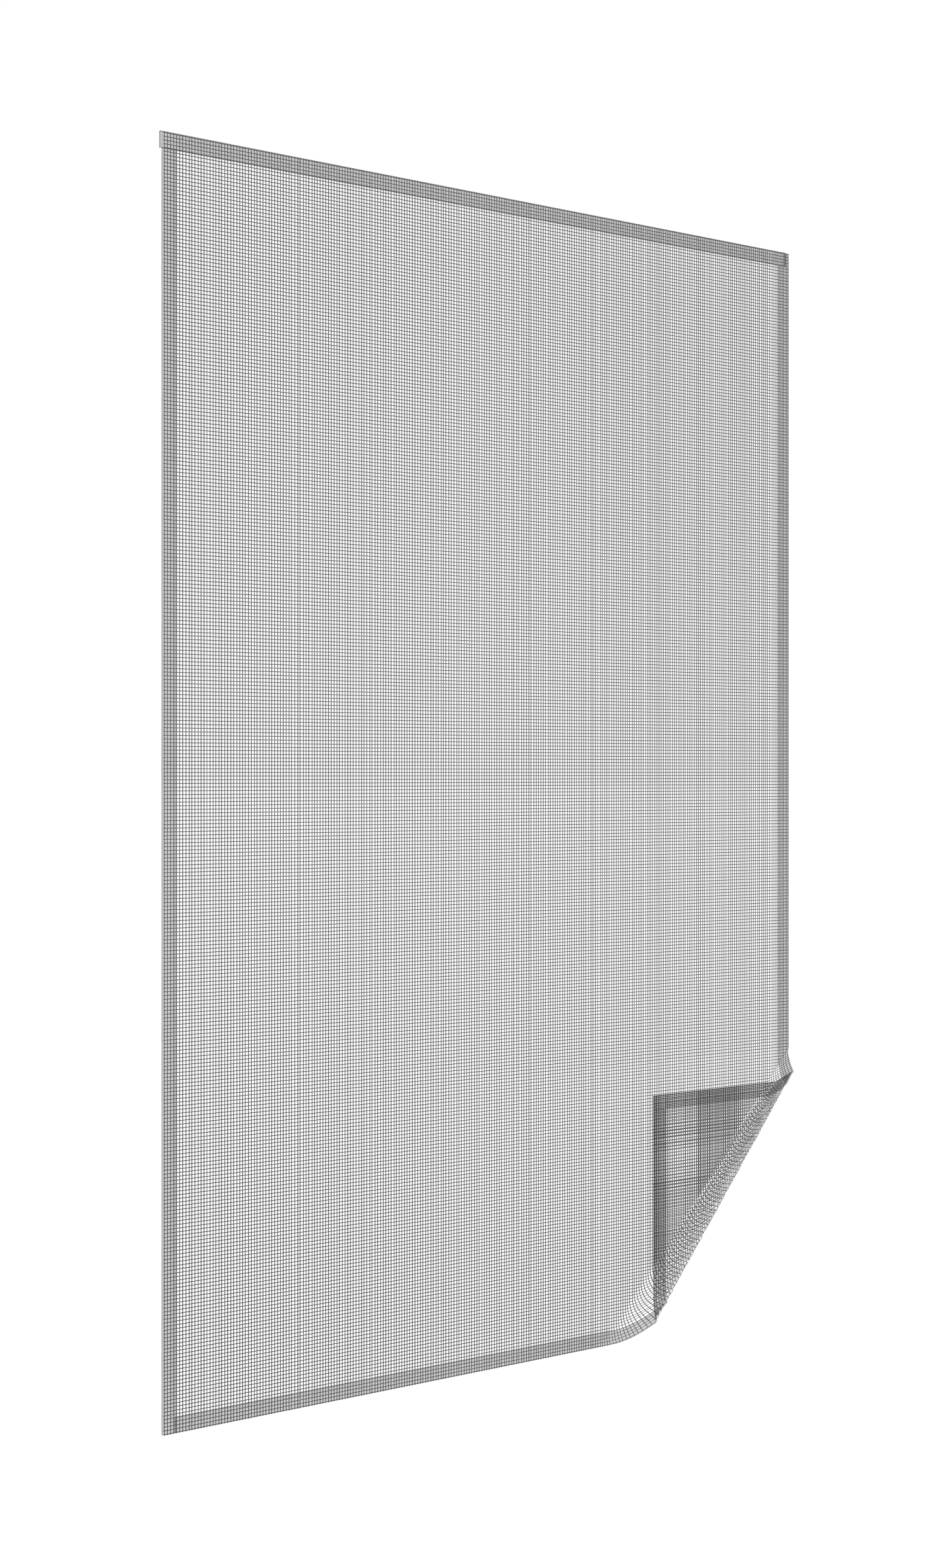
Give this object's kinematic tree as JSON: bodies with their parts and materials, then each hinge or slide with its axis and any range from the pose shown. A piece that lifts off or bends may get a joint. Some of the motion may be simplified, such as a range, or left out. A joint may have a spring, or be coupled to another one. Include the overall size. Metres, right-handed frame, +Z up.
{
  "type": "hook-and-loop insect screen",
  "caption": "Fine grey insect net for a small window, edged with loop tape, with an adhesive hook tape behind its top edge and one lower corner peeled forward and folded back.",
  "frame": {"origin": "middle of the adhesive face of the hook tape at the top of the screen", "axes": "+Z up along the screen, +X to the right for a viewer in the room, +Y towards the window"},
  "size_m": [0.5, 0.0359, 0.7022],
  "materials": {
    "net": "matt coated yarn",
    "loop_tape": "woven tape with a brushed loop pile on its back",
    "hook_tape": "matt woven nylon with moulded hooks and an adhesive back"
  },
  "bodies": {
    "root": {"insect_net": "net", "top_loop_tape": "loop_tape", "left_loop_tape": "loop_tape", "right_loop_tape": "loop_tape", "bottom_loop_tape": "loop_tape", "top_hook_tape": "hook_tape"}
  },
  "joints": []
}
